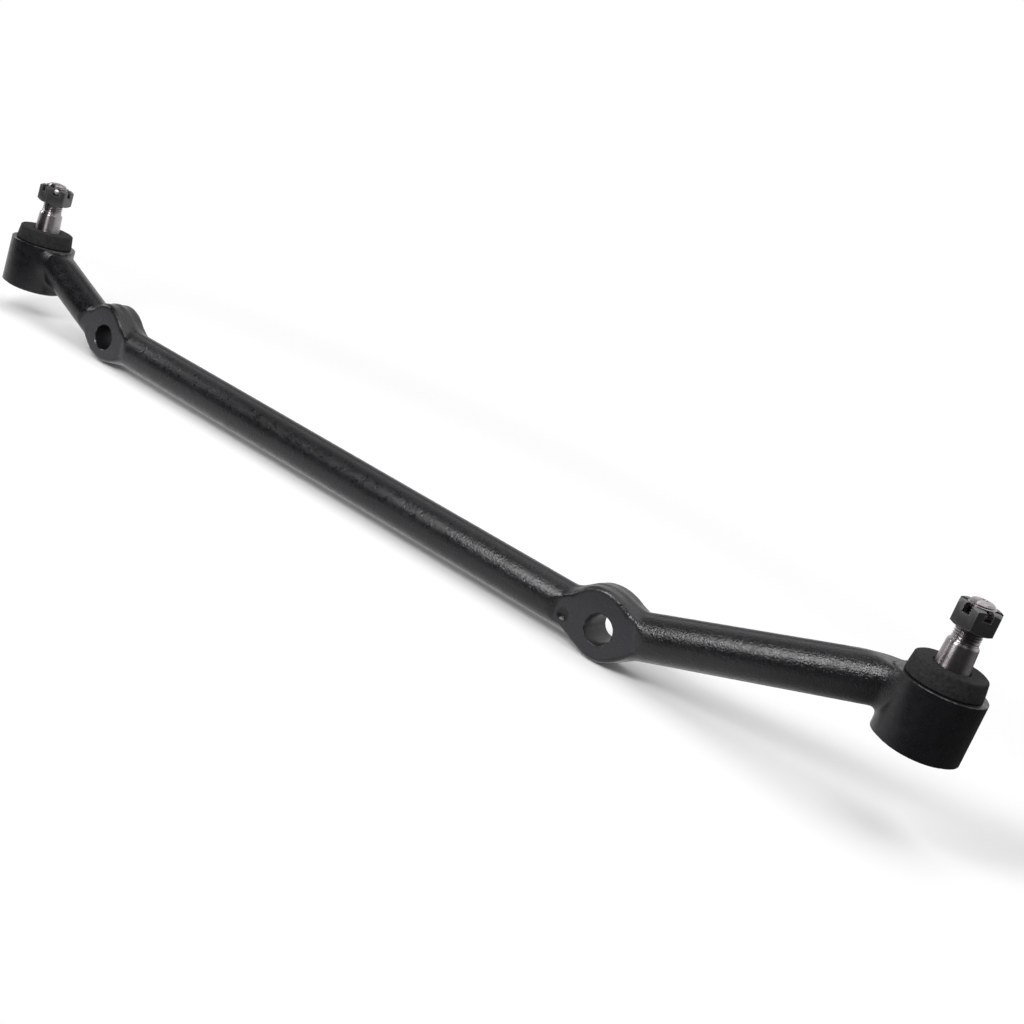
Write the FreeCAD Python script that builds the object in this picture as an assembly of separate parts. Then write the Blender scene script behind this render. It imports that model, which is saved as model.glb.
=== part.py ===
import FreeCAD, Part
import os
from math import atan, atan2, cos, degrees, hypot, radians, sin, sqrt, tan

V = FreeCAD.Vector

# A steering centre link: one steel forging with a ball stud at each end and two
# tapered eyes for the inner tie rods. Millimetres. The origin is the centre of the
# left tie-rod hole, +X runs along the middle bar to the right, +Z along the studs.
# The functions below put z = 0 on the bar's axis; the last step lowers it to suit.

# Layout of the forging
tie_hole_spacing = 403.4
tie_hole_lift = 0.9
bar_d = 24.2
eye_thickness = 20.6
eye_lift = 2.5
eye_edge_r = 3.0
eye_blend_r = 14.0
web_inset = 0.1
web_overlap = 8.0
neck_length = 8.0
neck_inset = 0.25
flare_r = 10.0
flare_past_flat = 4.0

# Each arm: tie-rod hole to socket axis along the bar, rise of the arm's centre line
# at the socket axis, bend point beyond the hole, diameter. Then the eye's boss: its
# radius, how far it sits beyond the hole, and how far its flats run along the bar
# from the hole and along the arm from the bend.
right_reach = 158.0
right_rise = 54.7
right_bend = 2.1
right_arm_d = 24.4
right_eye_r = 18.9
right_eye_shift = 0.4
right_bar_flat = 25.0
right_arm_flat = 18.0
left_reach = 92.7
left_rise = 31.6
left_bend = 8.8
left_arm_d = 23.0
left_eye_r = 17.3
left_eye_shift = -0.4
left_bar_flat = 18.0
left_arm_flat = 14.5

# Tapered tie-rod hole, wide end at the -Y face
tie_hole_d = 16.3
taper_per_mm = 1.0 / 8.0
hole_chamfer = 0.4

# Shallow ball mark of the hardness test beside the right eye
mark_ball_d = 10.0
mark_depth = 1.4
mark_from_hole = 21.4
mark_drop = 1.5

# Ball joint, from the ball outwards
ball_d = 24.0
ball_clearance = 0.1
ball_flat_depth = 9.2
seat_wall = 4.0
press_gap = 0.02
running_gap = 0.05
socket_wall = 4.8
neck_d = 13.8
neck_room = 3.7
mouth_flare = 2.7
mouth_gap = 0.578

# Ball joint, from the rim downwards
rim_land_h = 7.6
upper_seat_h = 7.6
seat_parting = 1.8
seat_floor = 2.2
seat_hole_d = 16.4
spring_room = 3.3
spring_side_gap = 1.5
spring_w = 5.5
spring_t = 1.2
cover_t = 2.2
cover_step = 1.2
cover_hub_d = 10.0
cover_hub_h = 2.2
grease_hole_d = 5.5

# Socket outside
rim_over_arm = 3.05
rim_chamfer = 0.6
root_fillet = 4.0
arm_top_drop = 1.2
arm_top_gap = 0.3
arm_top_r = 60.0
lip_wall = 1.4
lip_hold = 1.7
lip_t = 1.0
lip_h = 1.6
lip_round = 1.0

# Ball stud above the rim
taper_start = 5.0
neck_blend = 5.0
taper_length = 15.3
shoulder_step = 0.944
shoulder_chamfer = 1.0
thread_d = 12.7
stud_end_out = 2.7
stud_end_chamfer = 1.4
stud_end_dome = 0.7
dome_shoulder_r = 3.6
centre_mark_d = 3.0
cotter_hole_d = 3.2
right_stud_turn_deg = -51.2
left_stud_turn_deg = -37.4

# Slotted nut
nut_flats = 19.05
nut_h = 11.1
thread_shown = 7.5
nut_bore_gap = 0.02
nut_slot_w = 4.0
nut_slot_depth = 4.4
nut_chamfer_deg = 30.0
nut_face_share = 0.95

# Dust seal
seal_inset = 2.8
seal_top_inset = 1.0
seal_h = 9.0
seal_gap = 0.3

# How far cutting tools run past what they cut, and how near counts as touching
overrun = 30.0
tolerance = 1e-3

# What follows from the sizes above
bore_d = ball_d + 2 * seat_wall
socket_d = bore_d + 2 * socket_wall
mouth_d = neck_d + 2 * neck_room
rim_mouth_d = mouth_d + 2 * mouth_flare
ball_depth = rim_land_h + sqrt((ball_d / 2) ** 2 - (mouth_d / 2 - mouth_gap) ** 2)
lower_seat_top = rim_land_h + upper_seat_h + seat_parting
lower_seat_bottom = ball_depth + ball_flat_depth + seat_floor
cover_top = lower_seat_bottom + spring_room
cover_bottom = cover_top + cover_t
cover_d = bore_d + 2 * cover_step
lip_d = cover_d + 2 * lip_wall
lip_hole_d = cover_d - 2 * lip_hold
socket_h = cover_bottom + lip_t - lip_h
spring_outer_d = bore_d - 2 * spring_side_gap
spring_inner_d = spring_outer_d - 2 * spring_w
taper_start_d = thread_d + 2 * shoulder_step + taper_length * taper_per_mm
shoulder_height = taper_start + taper_length
nut_height = shoulder_height + thread_shown
stud_height = nut_height + nut_h + stud_end_out
seal_bottom_d = socket_d - 2 * seal_inset
seal_top_d = seal_bottom_d - 2 * seal_top_inset


def line(a, b):
    return Part.LineSegment(a, b).toShape()


def s_curve(a, b):
    """Two equal arcs from a to b in the XZ plane, level at both ends."""
    half_x = (b.x - a.x) / 2
    half_z = (b.z - a.z) / 2
    radius = (half_x ** 2 + half_z ** 2) / (2 * abs(half_z))
    turn = atan2(abs(half_z), abs(half_x))
    step = V(radius * sin(turn) * (1 if half_x > 0 else -1), 0,
             radius * (1 - cos(turn)) * (1 if half_z > 0 else -1))
    middle = (a + b) * 0.5
    return [Part.Arc(a, a + step, middle).toShape(), Part.Arc(middle, b - step, b).toShape()]


def turned(edges, axis_start, axis_dir):
    """A solid of revolution from a closed run of edges."""
    face = Part.Face(Part.Wire(Part.__sortEdges__(edges)))
    return face.revolve(axis_start, axis_dir, 360)


def mirrored(shape):
    return shape.mirror(V(0, 0, 0), V(1, 0, 0))


def lathe(points):
    """A solid turned about Z from (radius, height) corners."""
    corners = [V(r, 0, z) for r, z in points]
    edges = [line(a, b) for a, b in zip(corners, corners[1:] + corners[:1])]
    return turned(edges, V(0, 0, 0), V(0, 0, 1))


def arm_angle(reach, rise, bend):
    return atan(rise / (reach - bend))


def round_bar(length, diameter, flats):
    """A round bar along +X, thinned where it runs into the eye at its start, or at both ends."""
    thin = eye_thickness / 2 - neck_inset
    full = diameter / 2
    first = V(flats[0], 0, thin)
    edges = [line(V(0, 0, 0), V(0, 0, thin)), line(V(0, 0, thin), first)]
    edges += s_curve(first, V(flats[0] + neck_length, 0, full))
    if len(flats) == 2:
        last = V(length - flats[1] - neck_length, 0, full)
        edges.append(line(V(flats[0] + neck_length, 0, full), last))
        edges += s_curve(last, V(length - flats[1], 0, thin))
        edges.append(line(V(length - flats[1], 0, thin), V(length, 0, thin)))
        edges.append(line(V(length, 0, thin), V(length, 0, 0)))
    else:
        edges.append(line(V(flats[0] + neck_length, 0, full), V(length, 0, full)))
        edges.append(line(V(length, 0, full), V(length, 0, 0)))
    edges.append(line(V(length, 0, 0), V(0, 0, 0)))
    return turned(edges, V(0, 0, 0), V(1, 0, 0))


def flared_bar(length, diameter, flat, boss_r):
    """A bar along +X that flares towards its start, to hold the eye's webs inside it."""
    r = diameter / 2
    tangent = flat + flare_past_flat
    wide = V(tangent - flare_r, 0, r + flare_r)
    middle = V(tangent - flare_r * sin(radians(45)), 0, r + flare_r * (1 - cos(radians(45))))
    start = V(-boss_r, 0, 0)
    edges = [line(start, V(start.x, 0, wide.z)), line(V(start.x, 0, wide.z), wide),
             Part.Arc(wide, middle, V(tangent, 0, r)).toShape(),
             line(V(tangent, 0, r), V(length, 0, r)), line(V(length, 0, r), V(length, 0, 0)),
             line(V(length, 0, 0), start)]
    return turned(edges, V(0, 0, 0), V(1, 0, 0))


def eye_plate(angle, bend, arm_d, boss_r, boss_shift, bar_flat, arm_flat):
    """The flattened eye: a boss with webs that run into the bar and the arm."""
    half = eye_thickness / 2
    boss = Part.makeCylinder(boss_r, eye_thickness, V(boss_shift, -half, eye_lift), V(0, 1, 0))
    bar_length = bar_flat + neck_length
    bar_half = bar_d / 2 - web_inset
    bar_web = Part.makeBox(bar_length, eye_thickness, 2 * bar_half, V(-bar_length, -half, -bar_half))
    arm_length = arm_flat + neck_length
    arm_half = arm_d / 2 - web_inset
    arm_web = Part.makeBox(arm_length + web_overlap, eye_thickness, 2 * arm_half, V(-web_overlap, -half, -arm_half))
    arm_hull = flared_bar(arm_length, 2 * arm_half, arm_flat, boss_r)
    for shape in (arm_web, arm_hull):
        shape.rotate(V(0, 0, 0), V(0, 1, 0), -degrees(angle))
        shape.translate(V(bend, 0, 0))
    plate = boss.fuse([bar_web, arm_web]).removeSplitter()

    def on_boss(point):
        return abs(hypot(point.x - boss_shift, point.z - eye_lift) - boss_r) < tolerance

    inner_corners = [e for e in plate.Edges
                     if len(e.Vertexes) == 2 and abs(abs(e.tangentAt(e.FirstParameter).y) - 1) < tolerance
                     and on_boss(e.Vertexes[0].Point)]
    plate = plate.makeFillet(eye_blend_r, inner_corners)

    def on_face(edge):
        return all(abs(abs(v.Point.y) - half) < tolerance for v in edge.Vertexes)

    def at_web_end(edge):
        return edge.Curve.TypeId == "Part::GeomLine" and abs(edge.tangentAt(edge.FirstParameter).z) > 0.9

    rims = [e for e in plate.Edges if on_face(e) and not at_web_end(e)
            and abs(e.tangentAt(e.FirstParameter).y) < tolerance]
    plate = plate.makeFillet(eye_edge_r, rims)
    hull = mirrored(flared_bar(bar_length, 2 * bar_half, bar_flat, boss_r)).fuse(arm_hull)
    return plate.common(hull)


def tie_rod_hole():
    """Cutting tool for the tapered hole, wide at the -Y face, with eased mouths."""
    wide = tie_hole_d / 2
    narrow = wide - eye_thickness * taper_per_mm / 2
    c = hole_chamfer
    tool = lathe([(0, -c), (wide + 2 * c, -c), (wide, c), (narrow, eye_thickness - c),
                  (narrow + 2 * c, eye_thickness + c), (0, eye_thickness + c)])
    tool.rotate(V(0, 0, 0), V(1, 0, 0), -90)
    tool.translate(V(0, -eye_thickness / 2, tie_hole_lift))
    return tool


def socket_outside():
    """The socket's turned outside with the thin lip below it, rim at z = 0."""
    r = socket_d / 2
    lip_r = lip_d / 2
    low = -socket_h - lip_h
    corner = V(lip_r, 0, low + lip_round)
    foot = V(lip_r - lip_round, 0, low)
    middle = V(lip_r - lip_round * (1 - cos(radians(45))), 0, low + lip_round * (1 - sin(radians(45))))
    edges = [line(V(0, 0, 0), V(r - rim_chamfer, 0, 0)),
             line(V(r - rim_chamfer, 0, 0), V(r, 0, -rim_chamfer)),
             line(V(r, 0, -rim_chamfer), V(r, 0, -socket_h)),
             line(V(r, 0, -socket_h), V(lip_r, 0, -socket_h)),
             line(V(lip_r, 0, -socket_h), corner),
             Part.Arc(corner, middle, foot).toShape(),
             line(foot, V(0, 0, low)),
             line(V(0, 0, low), V(0, 0, 0))]
    return turned(edges, V(0, 0, 0), V(0, 0, 1))


def socket_inside():
    """The socket's cavity: flared mouth, seat bore and the recess for the cover."""
    bore = bore_d / 2
    pocket = cover_d / 2 + press_gap
    low = -socket_h - lip_h
    return lathe([(0, overrun), (rim_mouth_d / 2, overrun), (rim_mouth_d / 2, 0), (mouth_d / 2, -rim_land_h),
                  (bore, -rim_land_h), (bore, -cover_top), (pocket, -cover_top), (pocket, -cover_bottom),
                  (lip_hole_d / 2, -cover_bottom), (lip_hole_d / 2, low - overrun), (0, low - overrun)])


def above_the_arm(reach, rise, bend, arm_d):
    """What is trimmed off an arm so that its top rolls over level, just below the rim."""
    angle = arm_angle(reach, rise, bend)
    level = rise + rim_over_arm - arm_top_drop
    offset = arm_d / 2 + arm_top_gap
    corner = V(bend + (level - offset / cos(angle)) / tan(angle), 0, level)
    reach_back = arm_top_r * tan(angle / 2)
    on_level = corner + V(reach_back, 0, 0)
    on_arm = corner - V(cos(angle), 0, sin(angle)) * reach_back
    crown = on_level + V(-arm_top_r * sin(angle / 2), 0, arm_top_r * (cos(angle / 2) - 1))
    far = on_arm - V(cos(angle), 0, sin(angle)) * overrun
    top = level + 2 * overrun
    end = reach + socket_d
    edges = [line(V(end, 0, level), on_level),
             Part.Arc(on_level, crown, on_arm).toShape(),
             line(on_arm, far),
             line(far, V(far.x, 0, top)),
             line(V(far.x, 0, top), V(end, 0, top)),
             line(V(end, 0, top), V(end, 0, level))]
    face = Part.Face(Part.Wire(edges))
    face.translate(V(0, -socket_d, 0))
    return face.extrude(V(0, 2 * socket_d, 0))


def below_the_socket(reach, rise, bend, arm_d):
    """What is trimmed off an arm so that its root ends level with the socket's underside."""
    angle = arm_angle(reach, rise, bend)
    arm_clears = (socket_h - rim_over_arm - arm_d / 2 / cos(angle)) / tan(angle)
    start = max(arm_clears, socket_d / 2)
    low = rise + rim_over_arm - socket_h - 2 * overrun
    return Part.makeBox(start + socket_d, 2 * socket_d, 2 * overrun, V(reach - start, -socket_d, low))


def arm_with_root(reach, rise, bend, arm_d, arm_flat):
    """An arm from its eye to the socket axis, with a fillet all round where it meets the wall."""
    angle = arm_angle(reach, rise, bend)
    arm = round_bar((reach - bend) / cos(angle), arm_d, [arm_flat])
    arm.rotate(V(0, 0, 0), V(0, 1, 0), -degrees(angle))
    arm.translate(V(bend, 0, 0))
    base = V(reach, 0, rise + rim_over_arm - socket_h - overrun)
    wall = Part.makeCylinder(socket_d / 2, socket_h + 2 * overrun, base)
    body = wall.fuse(arm).removeSplitter()

    def at_root(edge):
        ends = [edge.valueAt(edge.FirstParameter), edge.valueAt((edge.FirstParameter + edge.LastParameter) / 2)]
        on_wall = all(abs(hypot(p.x - reach, p.y) - socket_d / 2) < tolerance for p in ends)
        return on_wall and edge.BoundBox.YLength > tolerance and edge.BoundBox.ZLength > tolerance

    body = body.makeFillet(root_fillet, [e for e in body.Edges if at_root(e)])
    return body.cut([above_the_arm(reach, rise, bend, arm_d), below_the_socket(reach, rise, bend, arm_d)])


def link_end(reach, rise, bend, arm_d, boss_r, boss_shift, bar_flat, arm_flat):
    """One end in its own frame: eye hole above the origin, arm and socket towards +X."""
    socket = socket_outside()
    socket.translate(V(reach, 0, rise + rim_over_arm))
    eye = eye_plate(arm_angle(reach, rise, bend), bend, arm_d, boss_r, boss_shift, bar_flat, arm_flat)
    return arm_with_root(reach, rise, bend, arm_d, arm_flat).fuse([socket, eye])


def end_cuts(reach, rise):
    cavity = socket_inside()
    cavity.translate(V(reach, 0, rise + rim_over_arm))
    return [cavity, tie_rod_hole()]


def hardness_mark():
    """The dent that the testing ball leaves in the right eye's near face."""
    outside = mark_ball_d / 2 - mark_depth
    centre = V(tie_hole_spacing - mark_from_hole, -eye_thickness / 2 - outside, -mark_drop)
    return Part.makeSphere(mark_ball_d / 2, centre)


def link_forging():
    """Middle bar, eyes, arms and sockets, forged as one piece."""
    right = link_end(right_reach, right_rise, right_bend, right_arm_d,
                     right_eye_r, right_eye_shift, right_bar_flat, right_arm_flat)
    right.translate(V(tie_hole_spacing, 0, 0))
    left = mirrored(link_end(left_reach, left_rise, left_bend, left_arm_d,
                             left_eye_r, left_eye_shift, left_bar_flat, left_arm_flat))
    bar = round_bar(tie_hole_spacing, bar_d, [left_bar_flat, right_bar_flat])
    body = bar.fuse([right, left]).removeSplitter()
    cuts = [hardness_mark()]
    for tool in end_cuts(right_reach, right_rise):
        tool.translate(V(tie_hole_spacing, 0, 0))
        cuts.append(tool)
    for tool in end_cuts(left_reach, left_rise):
        cuts.append(mirrored(tool))
    return body.cut(cuts)


def ring_on_ball(outer_d, top, bottom, bore):
    """A ring whose inside is part of a sphere around the ball's centre."""
    cup = Part.makeSphere(ball_d / 2 + ball_clearance, V(0, 0, -ball_depth))
    ring = Part.makeCylinder(outer_d / 2, top - bottom, V(0, 0, bottom))
    if bore > 0:
        ring = ring.cut(Part.makeCylinder(bore / 2, top - bottom, V(0, 0, bottom)))
    return ring.cut(cup)


def upper_seat():
    return ring_on_ball(bore_d - 2 * press_gap, -rim_land_h, -rim_land_h - upper_seat_h, 0)


def lower_seat():
    return ring_on_ball(bore_d - 2 * running_gap, -lower_seat_top, -lower_seat_bottom, seat_hole_d)


def preload_spring():
    """A coned disc spring between the cover and the lower seat."""
    outer = spring_outer_d / 2
    inner = spring_inner_d / 2
    return lathe([(outer, -cover_top), (outer, -cover_top + spring_t), (inner, -lower_seat_bottom),
                  (inner, -lower_seat_bottom - spring_t)])


def cover_plate():
    """The pressed cover with its hub, tapped for a grease fitting."""
    hub_r = cover_hub_d / 2
    hub_top = -cover_top + cover_hub_h
    rim_r = cover_d / 2
    plate = lathe([(0, -cover_bottom), (rim_r, -cover_bottom), (rim_r, -cover_top), (hub_r, -cover_top),
                   (hub_r, hub_top), (0, hub_top)])
    hole = Part.makeCylinder(grease_hole_d / 2, cover_t + cover_hub_h, V(0, 0, -cover_bottom))
    return plate.cut(hole)


def ball_stud(turn):
    """Ball, neck, tapered shank and threaded end, turned from one piece."""
    ball_r = ball_d / 2
    neck_r = neck_d / 2
    centre = -ball_depth
    flat_r = sqrt(ball_r ** 2 - ball_flat_depth ** 2)
    neck_base = centre + sqrt(ball_r ** 2 - neck_r ** 2)
    thread_r = thread_d / 2
    shoulder_r = thread_r + shoulder_step
    end_r = thread_r - stud_end_chamfer
    dome_base = stud_height - stud_end_dome
    thread_start = shoulder_height + shoulder_chamfer
    thread_end = dome_base - stud_end_chamfer
    mark_r = centre_mark_d / 2
    neck_top = taper_start - neck_blend
    ball_low = centre - ball_flat_depth
    edges = [line(V(0, 0, ball_low), V(flat_r, 0, ball_low)),
             Part.Arc(V(flat_r, 0, ball_low), V(ball_r, 0, centre), V(neck_r, 0, neck_base)).toShape(),
             line(V(neck_r, 0, neck_base), V(neck_r, 0, neck_top)),
             line(V(neck_r, 0, neck_top), V(taper_start_d / 2, 0, taper_start)),
             line(V(taper_start_d / 2, 0, taper_start), V(shoulder_r, 0, shoulder_height)),
             line(V(shoulder_r, 0, shoulder_height), V(thread_r, 0, thread_start)),
             line(V(thread_r, 0, thread_start), V(thread_r, 0, thread_end)),
             line(V(thread_r, 0, thread_end), V(end_r, 0, dome_base)),
             Part.Arc(V(end_r, 0, dome_base), V(dome_shoulder_r, 0, stud_height - stud_end_dome / 2),
                      V(mark_r, 0, stud_height)).toShape(),
             line(V(mark_r, 0, stud_height), V(0, 0, stud_height - mark_r)),
             line(V(0, 0, stud_height - mark_r), V(0, 0, ball_low))]
    stud = turned(edges, V(0, 0, 0), V(0, 0, 1))
    hole_height = nut_height + nut_h - nut_slot_depth / 2
    hole = Part.makeCylinder(cotter_hole_d / 2, 2 * thread_d, V(-thread_d, 0, hole_height), V(1, 0, 0))
    hole.rotate(V(0, 0, 0), V(0, 0, 1), turn)
    return stud.cut(hole)


def slotted_nut(turn):
    """Hexagon nut with six slots, each centred on a flat."""
    corner_r = nut_flats / 2 / cos(radians(30))
    corner_angles = [radians(60 * k + 30) for k in range(6)]
    corners = [V(corner_r * cos(a), corner_r * sin(a), nut_height) for a in corner_angles]
    hexagon = Part.Face(Part.makePolygon(corners + corners[:1])).extrude(V(0, 0, nut_h))
    face_r = nut_flats / 2 * nut_face_share
    rise = (corner_r - face_r) * tan(radians(nut_chamfer_deg))
    top = nut_height + nut_h
    envelope = lathe([(0, nut_height), (face_r, nut_height), (corner_r, nut_height + rise),
                      (corner_r, top - rise), (face_r, top), (0, top)])
    nut = hexagon.common(envelope)
    bore = Part.makeCylinder(thread_d / 2 + nut_bore_gap, nut_h, V(0, 0, nut_height))
    slots = []
    for k in range(3):
        slot = Part.makeBox(2 * nut_flats, nut_slot_w, nut_slot_depth)
        slot.translate(V(-nut_flats, -nut_slot_w / 2, top - nut_slot_depth))
        slot.rotate(V(0, 0, 0), V(0, 0, 1), 60 * k)
        slots.append(slot)
    nut = nut.cut([bore] + slots)
    nut.rotate(V(0, 0, 0), V(0, 0, 1), turn)
    return nut


def dust_seal():
    """A soft ring that closes the gap over the socket's mouth."""
    bore = taper_start_d / 2 + seal_gap
    return lathe([(bore, 0), (seal_bottom_d / 2, 0), (seal_top_d / 2, seal_h), (bore, seal_h)])


def ball_joint(side, x, rim, turn):
    """The seven loose pieces of one socket, placed on the forging."""
    pieces = {
        "upper_seat": upper_seat(),
        "lower_seat": lower_seat(),
        "preload_spring": preload_spring(),
        "cover_plate": cover_plate(),
        "ball_stud": ball_stud(turn),
        "dust_seal": dust_seal(),
        "slotted_nut": slotted_nut(turn),
    }
    placed = {}
    for name, shape in pieces.items():
        shape.translate(V(x, 0, rim))
        placed[side + "_" + name] = shape
    return placed


parts = {"link_forging": link_forging()}
right_socket_x = tie_hole_spacing + right_reach
parts.update(ball_joint("right", right_socket_x, right_rise + rim_over_arm, right_stud_turn_deg))
parts.update(ball_joint("left", -left_reach, left_rise + rim_over_arm, left_stud_turn_deg))

os.makedirs("parts", exist_ok=True)
for name, shape in parts.items():
    shape.translate(V(0, 0, -tie_hole_lift))
    assert shape.isValid() and len(shape.Solids) == 1, name
    shape.exportStep("parts/" + name + ".step")
    print(name, round(shape.Volume / 1000, 2), "cm3")
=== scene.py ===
import bpy
import bmesh
import numpy as np
from math import atan, cos, hypot, pi, radians, sin, tan
from mathutils import Matrix, Vector, noise


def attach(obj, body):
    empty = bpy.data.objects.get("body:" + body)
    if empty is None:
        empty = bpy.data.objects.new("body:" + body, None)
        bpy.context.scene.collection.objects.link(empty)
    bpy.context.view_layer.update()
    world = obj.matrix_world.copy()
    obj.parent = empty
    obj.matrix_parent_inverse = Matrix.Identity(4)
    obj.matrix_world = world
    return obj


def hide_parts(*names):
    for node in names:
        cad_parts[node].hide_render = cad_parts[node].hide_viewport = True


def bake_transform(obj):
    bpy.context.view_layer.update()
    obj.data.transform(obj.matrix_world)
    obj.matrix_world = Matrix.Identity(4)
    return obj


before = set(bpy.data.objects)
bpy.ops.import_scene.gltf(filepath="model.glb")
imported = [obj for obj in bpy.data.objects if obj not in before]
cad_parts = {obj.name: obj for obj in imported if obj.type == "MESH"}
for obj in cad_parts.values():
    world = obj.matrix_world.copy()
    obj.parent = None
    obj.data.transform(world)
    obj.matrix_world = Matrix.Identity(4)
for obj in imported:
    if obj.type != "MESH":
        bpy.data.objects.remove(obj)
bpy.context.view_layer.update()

# A steering centre link, laid on a pale floor. The origin is the centre of the left
# tie-rod hole, +X runs along the middle bar, +Z along the ball studs.

# Link forging: one bar of medium-carbon steel, hammered hot between two dies, with the
# flash trimmed off along the parting line. The sockets and eyes are then machined, and
# the whole piece is dipped in black chassis enamel. Sizes here are in millimetres.
mm = 0.001
bar_axis_z = -0.9
bar_d = 24.2
eye_thickness = 20.6
eye_lift = 2.5
eye_edge_r = 3.0
web_edge_r = 1.0
edge_r_change = 4.0
eye_blend = 6.0
crown_blend = 2.0
ramp_rise = 3.0
ramp_length = 9.0
socket_r = 20.8
socket_h = 30.5
socket_reach = 25.0
rim_over_arm = 3.05
root_fillet = 4.0
arm_top_drop = 1.2
arm_top_roll = 3.5
arm_top_ease = 0.8
flash_h = 0.5
flash_half_w = 2.2
flash_ground_z = -15.6
flash_fade = 3.0
mark_ball_r = 5.0
mark_centre = (382.0, -13.9, -2.4)
mark_ease = 0.3
spare = 4.0
arm_stock_stop = 5.0
skin_pitch = 0.95
# Each end of the link, measured outwards from its tie-rod hole and upwards from the bar's axis.
ends = {
    "right": {"hole": 403.4, "out": 1, "reach": 158.0, "rise": 54.7, "bend": 2.1, "arm_d": 24.4,
              "eye_r": 18.4, "eye_shift": 0.3, "crown": (-5.0, 4.6, 16.6), "bar_flat": 25.0,
              "arm_flat": 18.0},
    "left": {"hole": 0.0, "out": -1, "reach": 92.7, "rise": 31.6, "bend": 8.8, "arm_d": 23.0,
             "eye_r": 16.9, "eye_shift": -0.4, "crown": (3.4, 7.6, 14.6), "bar_flat": 18.0,
             "arm_flat": 14.5},
}
for end in ends.values():
    end["socket_x"] = end["hole"] + end["out"] * end["reach"]
    end["rim"] = bar_axis_z + end["rise"] + rim_over_arm
    end["on_rim"] = Matrix.Translation(Vector((end["socket_x"], 0, end["rim"])) * mm)


def filleted_union(a, b, r):
    return np.maximum(r, np.minimum(a, b)) - np.hypot(np.maximum(r - a, 0), np.maximum(r - b, 0))


def rounded_overlap(a, b, r):
    return np.minimum(-r, np.maximum(a, b)) + np.hypot(np.maximum(r + a, 0), np.maximum(r + b, 0))


def eased_overlap(a, b, width):
    near = np.maximum(width - np.abs(a - b), 0) / width
    return np.maximum(a, b) + near * near * width / 4


def end_distance(px, y, z, end):
    """Distance to one end of the forged blank: half the bar, its eye, its arm and its socket."""
    angle = atan(end["rise"] / (end["reach"] - end["bend"]))
    along = (px - end["bend"]) * cos(angle) + z * sin(angle)
    across = -(px - end["bend"]) * sin(angle) + z * cos(angle)
    arm_length = (end["reach"] - end["bend"]) / cos(angle)
    arm = np.maximum(np.hypot(across, y) - end["arm_d"] / 2, np.maximum(-along, along - arm_length))
    rods = np.minimum(np.maximum(np.hypot(y, z) - bar_d / 2, px - end["bend"]), arm)
    # The eye: a boss and its crown, thinned between two coined faces that ramp up to the rods.
    boss = np.hypot(px - end["eye_shift"], z - eye_lift) - end["eye_r"]
    crown_x, crown_z, crown_r = end["crown"]
    boss = filleted_union(boss, np.hypot(px - crown_x, z - crown_z) - crown_r, crown_blend)
    run = np.maximum(np.maximum(-px - end["bar_flat"], along - end["arm_flat"]), 0) / ramp_length
    half = eye_thickness / 2 + ramp_rise * np.where(run < 1, run * run * (3 - 2 * run), run)
    edge_r = web_edge_r + (eye_edge_r - web_edge_r) * np.clip((rods - boss) / edge_r_change, 0, 1)
    blank = rounded_overlap(filleted_union(boss, rods, eye_blend), np.abs(y) - half, edge_r)
    # The flash's stump along the parting line, ground away low down.
    blank -= flash_h * np.exp(-(y / flash_half_w) ** 6) * np.clip((z - flash_ground_z) / flash_fade, 0, 1)
    # The socket's drum, with the arm's top rolled over level with the rim.
    rim = end["rise"] + rim_over_arm
    wall = np.hypot(px - end["reach"], y) - socket_r
    roll = eased_overlap(z - (rim - arm_top_drop), across - end["arm_d"] / 2 - arm_top_ease, arm_top_roll)
    rooted = eased_overlap(filleted_union(blank, wall, root_fillet), roll, arm_top_ease)
    rooted = np.maximum(rooted, rim - socket_h - spare - z)
    tall = np.maximum(wall, np.abs(z - (rim - socket_h / 2)) - socket_h / 2 - spare)
    return np.where(wall < socket_reach, np.minimum(rooted, tall), blank)


def blank_distance(points):
    """Distance from each point to the skin of the forged blank, before machining."""
    distance = np.empty(len(points))
    on_right = points[:, 0] > ends["right"]["hole"] / 2
    for end, here in ((ends["right"], on_right), (ends["left"], ~on_right)):
        x, y, z = points[here].T
        distance[here] = end_distance((x - end["hole"]) * end["out"], y, z - bar_axis_z, end)
    mark = mark_ball_r - np.sqrt(((points - mark_centre) ** 2).sum(1))
    return rounded_overlap(distance, mark, mark_ease)


def add_rod(bm, start, end, radius):
    """A closed rod between two points, as rough stock for the skin."""
    start, end = Vector(start) * mm, Vector(end) * mm
    turn = (end - start).to_track_quat("Z", "Y").to_matrix().to_4x4()
    bmesh.ops.create_cone(bm, cap_ends=True, segments=48, radius1=radius * mm, radius2=radius * mm,
                          depth=(end - start).length, matrix=Matrix.Translation((start + end) / 2) @ turn)


def rough_stock():
    """Overlapping rods, discs and drums that come close to the blank's shape."""
    bm = bmesh.new()
    add_rod(bm, (0, 0, bar_axis_z), (ends["right"]["hole"], 0, bar_axis_z), bar_d / 2)
    for end in ends.values():
        hole, out = end["hole"], end["out"]
        arm_top_z = bar_axis_z + end["rise"] * (1 - arm_stock_stop / (end["reach"] - end["bend"]))
        add_rod(bm, (hole + out * end["bend"], 0, bar_axis_z),
                (hole + out * (end["reach"] - arm_stock_stop), 0, arm_top_z), end["arm_d"] / 2)
        for x, z, r in ((end["eye_shift"], eye_lift, end["eye_r"]), end["crown"]):
            x, z = hole + out * x, bar_axis_z + z
            add_rod(bm, (x, -eye_thickness / 2, z), (x, eye_thickness / 2, z), r)
        add_rod(bm, (end["socket_x"], 0, end["rim"] - socket_h - spare),
                (end["socket_x"], 0, end["rim"] + spare), socket_r)
    mesh = bpy.data.meshes.new("rough_stock")
    bm.to_mesh(mesh)
    bm.free()
    return bpy.data.objects.new("forging", mesh)


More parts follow.
